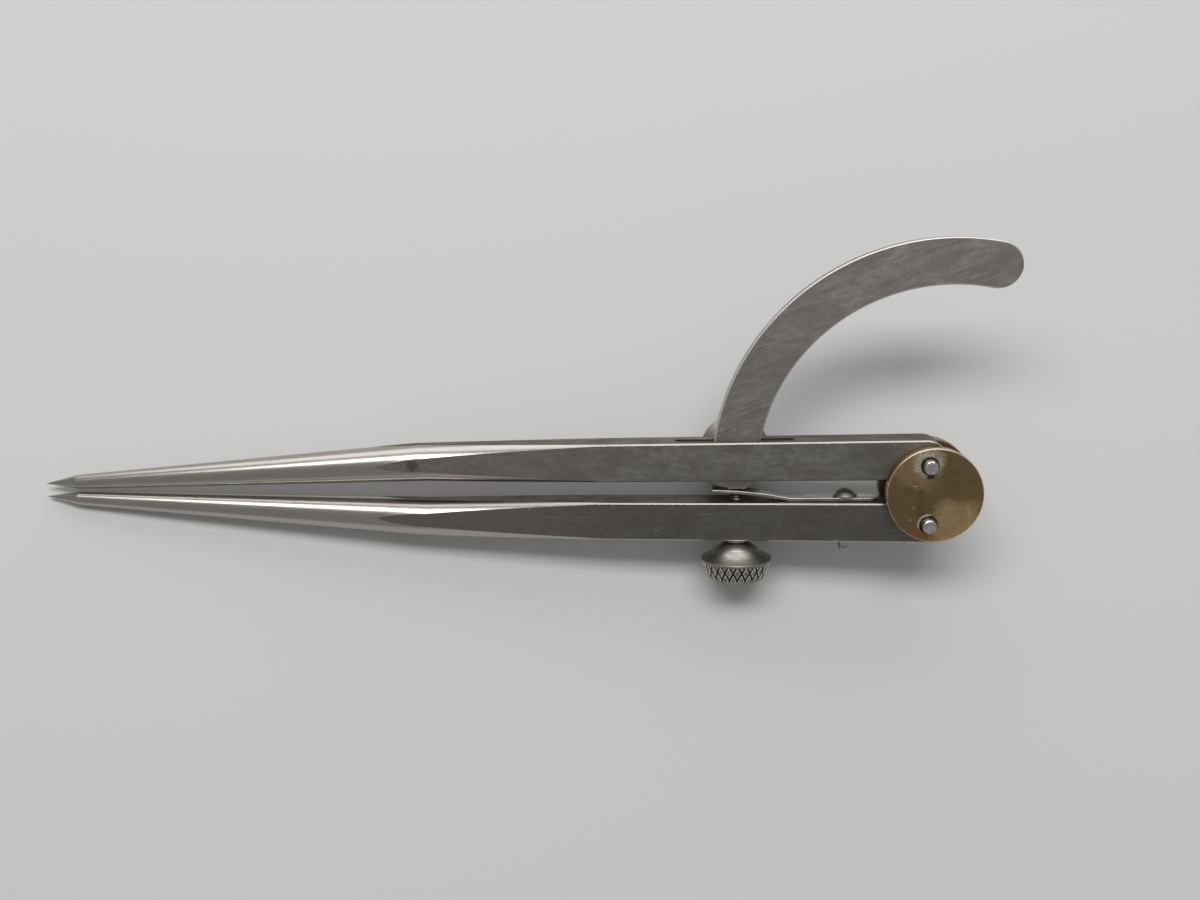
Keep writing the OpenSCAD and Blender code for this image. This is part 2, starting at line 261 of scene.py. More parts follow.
def node(tree, kind, settings, inputs):
    """A shader node with its settings, and each input either linked to a socket or set to a value."""
    made = tree.nodes.new(kind)
    for key, value in settings.items():
        setattr(made, key, value)
    for key, value in inputs.items():
        if isinstance(value, bpy.types.NodeSocket):
            tree.links.new(value, made.inputs[key])
        else:
            made.inputs[key].default_value = value
    return made


def number(tree, operation, *values):
    """The result of one step of arithmetic."""
    return node(tree, "ShaderNodeMath", {"operation": operation}, dict(enumerate(values))).outputs[0]


def vector(tree, operation, first, second):
    """The result of one step of arithmetic on two vectors."""
    return node(tree, "ShaderNodeVectorMath", {"operation": operation}, {0: first, 1: second})


def fade(tree, value, low, high, start=0.0, end=1.0):
    """Smooth step of a value from one range to another."""
    ends = {"Value": value, "From Min": low, "From Max": high, "To Min": start, "To Max": end}
    return node(tree, "ShaderNodeMapRange", {"interpolation_type": "SMOOTHSTEP"}, ends).outputs[0]


def lay(tree, share, under, over):
    """One colour laid over another by a share."""
    made = node(tree, "ShaderNodeMix", {"data_type": "RGBA"}, {0: share})
    for key, value in ((6, under), (7, over)):
        if isinstance(value, bpy.types.NodeSocket):
            tree.links.new(value, made.inputs[key])
        else:
            made.inputs[key].default_value = (*value, 1)
    return made.outputs[2]


def part_of(tree, share, mask):
    """A mask at part of its strength."""
    return number(tree, "MULTIPLY", mask, share)


def effect(name, inputs, outputs):
    """An empty shader node group with named sockets, and its input and output sockets."""
    group = bpy.data.node_groups.new(name, "ShaderNodeTree")
    for direction, sockets in (("INPUT", inputs), ("OUTPUT", outputs)):
        for key, kind in sockets.items():
            group.interface.new_socket(name=key, in_out=direction, socket_type="NodeSocket" + kind)
    return group, group.nodes.new("NodeGroupInput").outputs, group.nodes.new("NodeGroupOutput").inputs


def use(tree, group, **inputs):
    """The outputs of an effect, placed in a material with its own values."""
    return node(tree, "ShaderNodeGroup", {"node_tree": group}, inputs).outputs


def noise(tree, place, scale, detail):
    """Soft noise from 0 to 1."""
    inputs = {"Vector": place, "Scale": scale, "Detail": detail, "Roughness": 0.6}
    return node(tree, "ShaderNodeTexNoise", {}, inputs).outputs["Fac"]


# Cloudy stains: soft noise of a given size, drawn out along the grain
stains, given, result = effect(
    "stains", {"Place": "Vector", "Size": "Float", "Stretch": "Float"}, {"Mask": "Float"},
)
length = number(stains, "MULTIPLY", given["Size"], given["Stretch"])
cell = node(stains, "ShaderNodeCombineXYZ", {}, {"X": length, "Y": given["Size"], "Z": given["Size"]})
cloud = noise(stains, vector(stains, "DIVIDE", given["Place"], cell.outputs[0]).outputs[0], 1.0, 5.0)
stains.links.new(fade(stains, cloud, 0.36, 0.66), result["Mask"])

# Scratches along the grain: thin broken lines where drawn-out noise crosses its middle. Brush is that noise
scratches, given, result = effect(
    "scratches", {"Place": "Vector", "Gap": "Float", "Length": "Float"}, {"Mask": "Float", "Brush": "Float"},
)
size = {"X": given["Length"], "Y": given["Gap"], "Z": given["Gap"]}
cell = node(scratches, "ShaderNodeCombineXYZ", {}, size)
drawn = vector(scratches, "DIVIDE", given["Place"], cell.outputs[0]).outputs[0]
lines = noise(scratches, drawn, 1.0, 2.0)
off_line = number(scratches, "ABSOLUTE", number(scratches, "SUBTRACT", lines, 0.5))
broken = fade(scratches, noise(scratches, drawn, 0.37, 2.0), 0.52, 0.64)
thin = number(scratches, "MULTIPLY", fade(scratches, off_line, 0.03, 0.0), broken)
scratches.links.new(thin, result["Mask"])
scratches.links.new(lines, result["Brush"])

# Small round specks, in a share of evenly scattered cells
specks, given, result = effect(
    "specks", {"Place": "Vector", "Gap": "Float", "Share": "Float"}, {"Mask": "Float"},
)
cell = node(specks, "ShaderNodeCombineXYZ", {}, {"X": given["Gap"], "Y": given["Gap"], "Z": given["Gap"]})
scattered = vector(specks, "DIVIDE", given["Place"], cell.outputs[0]).outputs[0]
cells = node(specks, "ShaderNodeTexVoronoi", {}, {"Vector": scattered, "Scale": 1.0}).outputs
chosen = node(specks, "ShaderNodeSeparateColor", {}, {0: cells["Color"]}).outputs[0]
chosen = number(specks, "LESS_THAN", chosen, given["Share"])
round_speck = fade(specks, cells["Distance"], 0.2, 0.06)
specks.links.new(number(specks, "MULTIPLY", round_speck, chosen), result["Mask"])

# One blot with an uneven edge about a centre
blot, given, result = effect(
    "blot", {"Place": "Vector", "Centre": "Vector", "Radius": "Float"}, {"Mask": "Float"},
)
away = vector(blot, "DISTANCE", given["Place"], given["Centre"]).outputs["Value"]
uneven = noise(blot, given["Place"], number(blot, "DIVIDE", 1.6, given["Radius"]), 4.0)
away = number(blot, "ADD", number(blot, "DIVIDE", away, given["Radius"]), uneven)
blot.links.new(fade(blot, away, 1.5, 0.9), result["Mask"])

# Turning marks: fine rings, from noise along one direction
rings, given, result = effect("rings", {"Along": "Float", "Pitch": "Float"}, {"Height": "Float"})
along_marks = {"W": number(rings, "DIVIDE", given["Along"], given["Pitch"]), "Scale": 1.0, "Detail": 3.0}
turned_marks = node(rings, "ShaderNodeTexNoise", {"noise_dimensions": "1D"}, along_marks)
rings.links.new(turned_marks.outputs["Fac"], result["Height"])


def finish_of(tree):
    """The piece's own grain place and its worked finish."""
    grain = node(tree, "ShaderNodeAttribute", {"attribute_name": "grain"}, {}).outputs["Vector"]
    finish = node(tree, "ShaderNodeAttribute", {"attribute_name": "finish"}, {}).outputs["Fac"]
    return grain, finish


def surface(name):
    """A new material, its nodes, and the inputs of its shader."""
    material = bpy.data.materials.new(name)
    material.use_nodes = True
    return material, material.node_tree, material.node_tree.nodes["Principled BSDF"].inputs


def bump(tree, height, depth):
    """A normal raised by a height, over a depth in metres."""
    return node(tree, "ShaderNodeBump", {}, {"Height": height, "Distance": depth}).outputs[0]


leg_steel, tree, shader = surface("leg_steel")
grain, finish = finish_of(tree)
turned = number(tree, "COMPARE", finish, 1.0, 0.3)
sides = number(tree, "COMPARE", finish, 2.0, 0.3)
lengthwise, which_leg, _ = node(tree, "ShaderNodeSeparateXYZ", {}, {0: grain}).outputs
patches = use(tree, stains, Place=grain, Size=2.8, Stretch=1.9)["Mask"]
mottle = use(tree, stains, Place=grain, Size=0.8, Stretch=1.6)["Mask"]
filing = use(tree, scratches, Place=grain, Gap=0.16, Length=12.0)
spots = use(tree, specks, Place=grain, Gap=1.7, Share=0.22)["Mask"]
flat = lay(tree, part_of(tree, 0.85, patches), (0.37, 0.353, 0.322), (0.2, 0.187, 0.163))
flat = lay(tree, part_of(tree, 0.5, mottle), flat, (0.19, 0.174, 0.153))
flat = lay(tree, fade(tree, which_leg, 5.0, -5.0, 0.0, 0.6), flat, (0.115, 0.105, 0.088))
flat = lay(tree, fade(tree, lengthwise, 18.0, 6.0, 0.0, 0.4), flat, (0.16, 0.148, 0.128))
flat = lay(tree, fade(tree, lengthwise, 42.0, 72.0, 0.0, 0.4), flat, (0.3, 0.25, 0.245))
flat = lay(tree, part_of(tree, 0.35, filing["Mask"]), flat, (0.52, 0.5, 0.47))
flat = lay(tree, part_of(tree, 0.35, spots), flat, (0.46, 0.44, 0.4))
rust = use(tree, blot, Place=grain, Centre=(81.6, grain_apart, 3.0), Radius=1.3)["Mask"]
flat = lay(tree, part_of(tree, 0.75, rust), flat, (0.13, 0.09, 0.045))
grime = lay(tree, patches, (0.2, 0.185, 0.165), (0.1, 0.088, 0.072))
grime = lay(tree, part_of(tree, 0.5, mottle), grime, (0.17, 0.125, 0.09))
polish = use(tree, scratches, Place=grain, Gap=0.1, Length=30.0)["Brush"]
polished = lay(tree, fade(tree, polish, 0.3, 0.7), (0.42, 0.395, 0.36), (0.49, 0.462, 0.425))
pitted = use(tree, blot, Place=grain, Centre=(78.0, grain_apart + 2.5, 1.6), Radius=4.5)["Mask"]
pits = use(tree, specks, Place=grain, Gap=0.45, Share=0.45)["Mask"]
polished = lay(tree, number(tree, "MULTIPLY", pitted, pits), polished, (0.16, 0.11, 0.07))
colour = lay(tree, turned, lay(tree, sides, flat, grime), polished)
tree.links.new(colour, shader["Base Color"])
dull = number(tree, "ADD", number(tree, "MULTIPLY_ADD", patches, 0.1, 0.34), part_of(tree, 0.1, sides))
smooth = fade(tree, polish, 0.2, 0.8, 0.23, 0.27)
tree.links.new(fade(tree, turned, 0.0, 1.0, dull, smooth), shader["Roughness"])
raised = fade(tree, turned, 0.0, 1.0, filing["Brush"], part_of(tree, 0.06, polish))
tree.links.new(bump(tree, raised, 0.000007), shader["Normal"])
shader["Metallic"].default_value = 1
upper_leg.data.materials.append(leg_steel)
lower_leg.data.materials.append(leg_steel)


# Head
# Two turned brass discs, one on each face of the legs, held together by the pivot pins. They are
# tarnished, with fine turning marks, a worn rim that is also painted bright as a highlight, painted
# highlights in two sectors and on raised brass by the lower pin, residue round the pins, and a painted
# shadow under the upper pin.
disc_middle = (0.95, 0, 0)
disc_r = 7.45
disc_face = 5.6
pin_y = 4.675


def tool_place(tree, centre):
    """Object coordinates turned into tool millimetres from a centre."""
    turned = Matrix(tool_axes.T.tolist()).to_euler()
    seen = tree.nodes.new("ShaderNodeTexCoord").outputs["Object"]
    fitted = {"Vector": seen, "Location": in_frame(centre), "Rotation": turned, "Scale": [0.001] * 3}
    return node(tree, "ShaderNodeMapping", {"vector_type": "TEXTURE"}, fitted).outputs[0]


def distance(tree, place, centre):
    """Distance across the front from a line through a centre."""
    on_front = vector(tree, "MULTIPLY", place, (1, 1, 0)).outputs[0]
    return vector(tree, "DISTANCE", on_front, centre).outputs["Value"]


brass, tree, shader = surface("tarnished_brass")
place = tool_place(tree, disc_middle)
from_middle = distance(tree, place, (0, 0, 0))
pin_places = [np.array([-disc_middle[0], side * pin_y, 0]) for side in (1, -1)]
pins = [distance(tree, place, pin_place) for pin_place in pin_places]
tarnish = use(tree, stains, Place=place, Size=3.0, Stretch=1.0)["Mask"]
mottle = use(tree, stains, Place=place, Size=0.5, Stretch=1.0)["Mask"]
fine = use(tree, stains, Place=place, Size=0.15, Stretch=1.0)["Mask"]
turning = use(tree, rings, Along=from_middle, Pitch=0.2)["Height"]
colour = lay(tree, tarnish, (0.29, 0.204, 0.098), (0.15, 0.107, 0.054))
colour = lay(tree, part_of(tree, 0.4, mottle), colour, (0.23, 0.16, 0.085))
colour = lay(tree, fade(tree, from_middle, 4.0, 6.8, 0.0, 0.4), colour, (0.29, 0.165, 0.082))
colour = lay(tree, part_of(tree, 0.4, fine), colour, (0.15, 0.106, 0.056))
colour = lay(tree, fade(tree, turning, 0.4, 0.7, 0.0, 0.3), colour, (0.4, 0.285, 0.148))
# Painted highlight: the turned face is painted lighter in two opposite sectors, the lower one wider, standing
# in for its sheen
towards = vector(tree, "DOT_PRODUCT", place, (0.6, -0.8, 0)).outputs["Value"]
towards = number(tree, "DIVIDE", towards, from_middle)
uneven = number(tree, "SUBTRACT", tarnish, mottle)
towards = number(tree, "MULTIPLY_ADD", uneven, 0.12, towards)
lower, upper = fade(tree, towards, 0.6, 1.0, 0.0, 0.9), fade(tree, towards, -0.75, -1.0, 0.0, 0.4)
sheen = number(tree, "MULTIPLY", number(tree, "ADD", lower, upper), fade(tree, from_middle, 0.3, 3.0))
sheen = number(tree, "MULTIPLY", sheen, fade(tree, fine, 0.0, 1.0, 1.0, 0.6))
colour = lay(tree, sheen, colour, (0.64, 0.45, 0.228))
residue = use(tree, blot, Place=place, Centre=(-1.2, 5.2, disc_face), Radius=3.0)["Mask"]
powder = number(tree, "MULTIPLY", residue, fade(tree, fine, 0.1, 0.8, 0.25, 1.0))
colour = lay(tree, powder, colour, (0.86, 0.8, 0.65))
brown = use(tree, blot, Place=place, Centre=(-2.2, -5.9, disc_face), Radius=1.8)["Mask"]
colour = lay(tree, part_of(tree, 0.75, brown), colour, (0.33, 0.155, 0.065))
# Painted shadow: a dark spot painted just below the upper pin
painted_pin_shadow = use(tree, blot, Place=place, Centre=(-0.85, 3.2, disc_face), Radius=0.85)["Mask"]
colour = lay(tree, part_of(tree, 0.95, painted_pin_shadow), colour, (0.05, 0.04, 0.028))
colour = lay(tree, fade(tree, number(tree, "MINIMUM", *pins), 1.6, 1.3, 0.0, 0.6), colour, (0.32, 0.27, 0.19))
# Painted highlight: a bright cream crescent painted on raised brass at the upper left of the lower pin
from_pin = vector(tree, "SUBTRACT", place, pin_places[1]).outputs[0]
upper_left = fade(tree, vector(tree, "DOT_PRODUCT", from_pin, (-0.75, 0.65, 0)).outputs["Value"], 0.5, 1.2)
raised_brass_highlight = number(tree, "MULTIPLY", upper_left, fade(tree, pins[1], 1.85, 1.6))
colour = lay(tree, part_of(tree, 0.85, raised_brass_highlight), colour, (0.9, 0.82, 0.66))
# Three short scratches, each a spot narrowed along one axis or both
scratched = [((-3.2, 1.5), (1.0, 4.0)), ((-3.3, -1.9), (2.5, 3.5)), ((-3.7, -3.9), (4.0, 2.0))]
for middle, narrowed in scratched:
    from_scratch = vector(tree, "SUBTRACT", place, (*middle, disc_face)).outputs[0]
    from_scratch = vector(tree, "MULTIPLY", from_scratch, (*narrowed, 1.0)).outputs[0]
    away = vector(tree, "DISTANCE", from_scratch, (0, 0, 0)).outputs["Value"]
    colour = lay(tree, fade(tree, away, 0.5, 0.25, 0.0, 0.7), colour, (0.8, 0.71, 0.53))
# Only the front edge of the front disc is painted bright: it is worn, and a painted highlight makes it
# brightest at its top
_, up_disc, to_front = node(tree, "ShaderNodeSeparateXYZ", {}, {0: place}).outputs
worn = fade(tree, up_disc, -4.5, 5.0, 0.3, 0.8)
worn_and_highlit_edge = number(tree, "MULTIPLY", fade(tree, to_front, 4.6, 5.2), worn)
worn_and_highlit_edge = number(tree, "MULTIPLY", worn_and_highlit_edge, fade(tree, from_middle, disc_r - 0.18, disc_r - 0.04))
colour = lay(tree, worn_and_highlit_edge, colour, (0.84, 0.72, 0.52))
tree.links.new(colour, shader["Base Color"])
tree.links.new(number(tree, "MULTIPLY_ADD", tarnish, 0.12, 0.3), shader["Roughness"])
tree.links.new(bump(tree, turning, 0.00004), shader["Normal"])
shader["Metallic"].default_value = 1
for name in ("front_disc", "back_disc"):
    frame["nodes"][name].data.materials.clear()
    frame["nodes"][name].data.materials.append(brass)


# Pivot pins
# Two bright steel pins with round ends, pressed into both discs. Each carries one leg, and its side is
# painted dark where it leaves the brass, as a painted reflection of dark surroundings and painted shade.
pin_steel, tree, shader = surface("pin_steel")
place = tool_place(tree, (0, 0, 0))
dents = use(tree, stains, Place=place, Size=0.5, Stretch=1.0)["Mask"]
specked = use(tree, specks, Place=place, Gap=0.7, Share=0.3)["Mask"]
from_axis = [distance(tree, place, (0, side * pin_y, 0)) for side in (1, -1)]
# Painted reflection and shade: each pin's side is painted dark outwards from just inside its edge
painted_dark_side = fade(tree, number(tree, "MINIMUM", *from_axis), 0.9, 1.18, 0.0, 0.8)
colour = lay(tree, part_of(tree, 0.8, dents), (0.72, 0.71, 0.71), (0.36, 0.345, 0.35))
colour = lay(tree, painted_dark_side, colour, (0.1, 0.09, 0.08))
tree.links.new(lay(tree, part_of(tree, 0.5, specked), colour, (0.22, 0.2, 0.18)), shader["Base Color"])
tree.links.new(number(tree, "MULTIPLY_ADD", dents, 0.12, 0.18), shader["Roughness"])
tree.links.new(bump(tree, dents, 0.00002), shader["Normal"])
shader["Metallic"].default_value = 1
for name in ("upper_pivot_pin", "lower_pivot_pin"):
    frame["nodes"][name].data.materials.clear()
    frame["nodes"][name].data.materials.append(pin_steel)


# Wing
# A curved flat of steel that passes through the upper leg's slot. Its foot narrows to a threaded stem,
# which runs through the spring and the lower leg to the adjusting nut.
wing_w = 7.3
wing_t = 2.4
wing_r = 33.6
wing_end = np.radians(78.5)
wing_middle = np.array([3.6, 2.3])
foot_dir = np.radians(182.3)
foot_drop = 0.6
foot_inset = 0.1
neck_half = 1.5
neck_y = 0.06
stem_at = 29.6
stem_r = 1.1
stem_end = 13.82
thread_pitch = 0.45
thread_depth = 0.16
stem_lead = 0.3
stem_chamfer = 0.25
wing_round = 0.22
rub_dir = np.radians(17)


def bar_section(half_a, half_z, rounding, flat_count, arc_count):
    """Rounded rectangle once round, a row for each size: quarter circles of radius r about the four points
    (+-(a - r), +-(z - r)), with straight flats between them."""
    half_a, half_z, r = (np.asarray(size)[:, None, None] for size in (half_a, half_z, rounding))
    angle = (np.arange(4)[:, None] + np.linspace(0, 1, arc_count)) * np.pi / 2
    a = np.array([1, -1, -1, 1])[:, None] * (half_a - r) + r * np.cos(angle)
    z = np.array([1, 1, -1, -1])[:, None] * (half_z - r) + r * np.sin(angle)
    share = np.arange(1, flat_count + 1) / (flat_count + 1)
    sides = []
    for arcs in (a, z):
        start, end = arcs[:, :, -1:], np.roll(arcs, -1, axis=1)[:, :, :1]
        sides.append(np.concatenate([arcs, start + (end - start) * share], axis=2).reshape(len(arcs), -1))
    return sides


def flat_edges(rows, flat_count, arc_count):
    """Which columns of such a section end an arc, as creases, and which faces are on the rounded edges."""
    column = np.arange(4 * (arc_count + flat_count)) % (arc_count + flat_count)
    ends = (column == 0) | (column == arc_count - 1)
    crease = np.where(ends, np.arange(len(column)) + 1, 0)
    return np.tile(crease, (rows, 1)), np.tile(column < arc_count - 1, (rows - 1, 1))


flat_count, arc_count = 7, 7
round_end = np.linspace(np.pi / 2, 0, 14)[:-1]
swing = np.linspace(wing_end, foot_dir, 100)
direction = np.concatenate([np.full(len(round_end), wing_end), swing])
outwards = np.stack([np.cos(direction), np.sin(direction)], -1)
forward = np.array([np.sin(wing_end), -np.cos(wing_end)])
spine = wing_middle + wing_r * outwards
spine[: len(round_end)] += wing_w / 2 * np.sin(round_end)[:, None] * forward
half_width = wing_w / 2 * np.concatenate([np.cos(round_end), np.ones(len(swing))])
low, high = -half_width, half_width
half_depth = np.full(len(spine), wing_t / 2)

foot_sides = [wing_middle[0] - wing_r + wing_w / 2 - foot_inset, -stem_at - wing_w / 2 + foot_inset]
foot_low, foot_high = (np.array(foot_sides) - wing_middle[0]) / np.cos(foot_dir) - wing_r
foot_y = spine[-1, 1]
thread_y = np.arange(neck_y - stem_lead, stem_lead - stem_end, -thread_pitch / 6)
stem_ends = [neck_y, neck_y - stem_lead], [stem_lead - stem_end, -stem_end, -stem_end]
stem_y = np.concatenate([stem_ends[0], thread_y, stem_ends[1]])
stem_size = np.concatenate([np.full(len(stem_y) - 2, stem_r), [stem_r - stem_chamfer, 0]])
foot_path = np.stack([np.full(2, -stem_at), [foot_y - foot_drop, neck_y]], -1)
stem_path = np.stack([np.full(len(stem_y), -stem_at), stem_y], -1)
spine = np.vstack([spine, spine[-1:], foot_path, stem_path])
outwards = np.vstack([outwards, outwards[-1:], np.tile([-1.0, 0.0], (2 + len(stem_y), 1))])
low = np.concatenate([low, [foot_low, -neck_half, -neck_half], -stem_size])
high = np.concatenate([high, [foot_high, neck_half, neck_half], stem_size])
half_depth = np.concatenate([half_depth, np.full(3, wing_t / 2), stem_size])
rounding = np.minimum(wing_round, (high - low) / 2)
rounding[-len(stem_y):] = stem_size
a, z = bar_section((high - low) / 2, half_depth, rounding, flat_count, arc_count)
thread = np.zeros(len(spine))
thread[-len(stem_y) + 2:-3] = thread_depth
turns = spine[:, 1:] / thread_pitch + np.arctan2(z, a) / (2 * np.pi)
groove = 1 - thread[:, None] * np.abs(2 * (turns % 1) - 1)
a, z = a * groove + ((high + low) / 2)[:, None], z * groove
points = np.concatenate([spine[:, None] + a[..., None] * outwards[:, None], z[..., None]], -1)
stroke = np.array([[np.cos(rub_dir), -np.sin(rub_dir), 0], [np.sin(rub_dir), np.cos(rub_dir), 0], [0, 0, 1]])
grain = points @ stroke
crease, worked = flat_edges(len(spine), flat_count, arc_count)
crease[-len(stem_y):] = 0
worked[-len(stem_y):] = False
wing = steel_piece(
    "wing_plate", points.reshape(-1, 3), wrapped_quads(*a.shape).reshape(-1, 4),
    grain.reshape(-1, 3), worked.ravel(), crease.ravel(),
)
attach(wing, "wing")
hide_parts("wing")

wing_steel, tree, shader = surface("wing_steel")
grain, edges = finish_of(tree)
patches = use(tree, stains, Place=grain, Size=4.0, Stretch=1.6)["Mask"]
mottle = use(tree, stains, Place=grain, Size=0.7, Stretch=2.5)["Mask"]
elsewhere = vector(tree, "ADD", grain, (31, 7, 0)).outputs[0]
red = use(tree, stains, Place=elsewhere, Size=6.0, Stretch=1.3)["Mask"]
rubbing = use(tree, scratches, Place=grain, Gap=0.13, Length=4.0)
cuts = use(tree, scratches, Place=grain, Gap=0.42, Length=3.5)["Mask"]
by_foot = use(tree, blot, Place=grain, Centre=np.array([-31.5, 11.0, 1.2]) @ stroke, Radius=7.0)["Mask"]
spots = use(tree, specks, Place=grain, Gap=2.0, Share=0.22)["Mask"]
height = node(tree, "ShaderNodeSeparateXYZ", {}, {0: tool_place(tree, (0, 0, 0))}).outputs[1]
colour = lay(tree, part_of(tree, 0.9, patches), (0.62, 0.594, 0.56), (0.3, 0.282, 0.26))
colour = lay(tree, fade(tree, height, 30.0, 6.0, 0.0, 0.4), colour, (0.27, 0.255, 0.228))
colour = lay(tree, part_of(tree, 0.5, mottle), colour, (0.25, 0.236, 0.226))
colour = lay(tree, part_of(tree, 0.6, red), colour, (0.36, 0.285, 0.285))
colour = lay(tree, fade(tree, rubbing["Brush"], 0.3, 0.7, 0.4, 0.0), colour, (0.22, 0.205, 0.19))
colour = lay(tree, part_of(tree, 0.8, rubbing["Mask"]), colour, (0.68, 0.66, 0.63))
bright_cuts = number(tree, "MULTIPLY", cuts, number(tree, "MULTIPLY_ADD", by_foot, 0.65, 0.15))
colour = lay(tree, bright_cuts, colour, (0.68, 0.66, 0.63))
colour = lay(tree, part_of(tree, 0.45, spots), colour, (0.58, 0.56, 0.53))
# Painted shade: the stem, from the spring down between the legs, is painted near black
colour = lay(tree, fade(tree, height, 0.4, -0.6, 0.0, 0.85), colour, (0.12, 0.105, 0.085))
tree.links.new(lay(tree, edges, colour, (0.62, 0.6, 0.57)), shader["Base Color"])
dull = number(tree, "MULTIPLY_ADD", patches, 0.08, 0.34)
tree.links.new(fade(tree, edges, 0.0, 1.0, dull, 0.5), shader["Roughness"])
brushed = number(tree, "MULTIPLY", rubbing["Brush"], number(tree, "SUBTRACT", 1.0, edges))
tree.links.new(bump(tree, brushed, 0.000008), shader["Normal"])
shader["Metallic"].default_value = 1
wing.data.materials.append(wing_steel)


# Leaf spring
# A bright steel strip, screwed to the inside of the lower leg at one end. From its kink it rises to the
# wing's foot, and the stem passes through a long hole near its free end.
spring_w = 3.2
spring_t = 0.5
spring_from = 6.9
kink_at = 21.2
spring_to = 33.7
spring_rise = 1.34
spring_seat = -1.806
spring_round = 0.09
spring_hole_len = 3.4
spring_hole_w = 2.5
spring_hole_lip = 0.05
flat_count, arc_count = 9, 5
round_end = np.linspace(np.pi / 2, 0, 10)[:-1]
window = 2.2
s = np.concatenate([
    spring_from + spring_w / 2 * (1 - np.sin(round_end)),
    np.linspace(spring_from + spring_w / 2, kink_at, 14)[:-1],
    np.linspace(kink_at, stem_at - window, 14)[:-1],
    np.linspace(stem_at - window, stem_at + window, 13)[:-1],
    np.linspace(stem_at + window, spring_to, 7),
    [spring_to],
])
half_w = spring_w / 2 * np.concatenate([np.cos(round_end), np.ones(len(s) - len(round_end) - 1), [0]])
half_t = np.append(np.full(len(s) - 1, spring_t / 2), 0)
rounding = np.minimum(np.minimum(spring_round, half_w), half_t)
v, w = bar_section(half_t, half_w, rounding, flat_count, arc_count)
grid = np.arange(v.size).reshape(v.shape)
quarter = flat_count + arc_count
near = np.append(np.arange(3 * quarter + arc_count - 1, 4 * quarter), 0)
far = np.arange(quarter + arc_count - 1, 2 * quarter + 1)[::-1]
first = np.searchsorted(s, stem_at - window - 1e-6)
last = np.searchsorted(s, stem_at + window - 1e-6)
hole = (stem_at, spring_hole_len, spring_hole_w)
added, hole_quads, hole_crease = long_hole(grid, s, v, w, (first, last), near, far, hole, spring_hole_lip)
crease, worked = flat_edges(len(s), flat_count, arc_count)
keep = np.ones(worked.shape, bool)
keep[first:last, near[:-1]] = False
keep[first:last, far[1:]] = False
quads = np.vstack([wrapped_quads(*v.shape)[keep], hole_quads])
worked = np.append(worked[keep], np.zeros(len(hole_quads)))
points = np.vstack([np.stack([np.broadcast_to(s[:, None], v.shape), v, w], -1).reshape(-1, 3), added])
crease = np.append(crease.ravel(), hole_crease)
risen = np.clip((points[:, 0] - kink_at) / (spring_to - kink_at), 0, 1)
height = spring_seat + spring_t / 2 + spring_rise * risen * (2 - risen)
placed = np.stack([-points[:, 0], height + points[:, 1], points[:, 2]], -1)
leaf = steel_piece("leaf_spring_strip", placed, quads, points, worked, crease)
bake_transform(leaf)
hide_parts("leaf_spring")

spring_steel, tree, shader = surface("spring_steel")
grain, edges = finish_of(tree)
patches = use(tree, stains, Place=grain, Size=2.0, Stretch=2.0)["Mask"]
rolled = use(tree, scratches, Place=grain, Gap=0.15, Length=8.0)
colour = lay(tree, part_of(tree, 0.8, patches), (0.42, 0.41, 0.39), (0.2, 0.185, 0.165))
colour = lay(tree, part_of(tree, 0.5, rolled["Mask"]), colour, (0.65, 0.63, 0.6))
tree.links.new(lay(tree, edges, colour, (0.6, 0.585, 0.56)), shader["Base Color"])
tree.links.new(number(tree, "MULTIPLY_ADD", patches, 0.14, 0.28), shader["Roughness"])
tree.links.new(bump(tree, rolled["Brush"], 0.000008), shader["Normal"])
shader["Metallic"].default_value = 1
leaf.data.materials.append(spring_steel)


# Knobs and spring screw
# The nut on the stem and the clamp screw behind the upper leg: turned steel with a domed shoulder and a
# diamond knurl rolled into the tapered rim. The spring's screw is turned from the same steel.
knob_r = 5.675
knob_end_r = 4.85
dome_h = 3.6
knob_h = 6.6
neck_r = 1.6
neck_h = 0.65
edge_round = 0.25
edge_power = 0.7
end_chamfer = 0.3
dome_swell = 0.12
knurl_lines = 24
knurl_depth = 0.3
knurl_lean = 2.4
knurl_cross = 4.8
knurl_rise = 2.2
knurl_columns = 14
rim_margin = 0.12
rim_lead = 0.2
ring_count = 10
ring_depth = 0.006


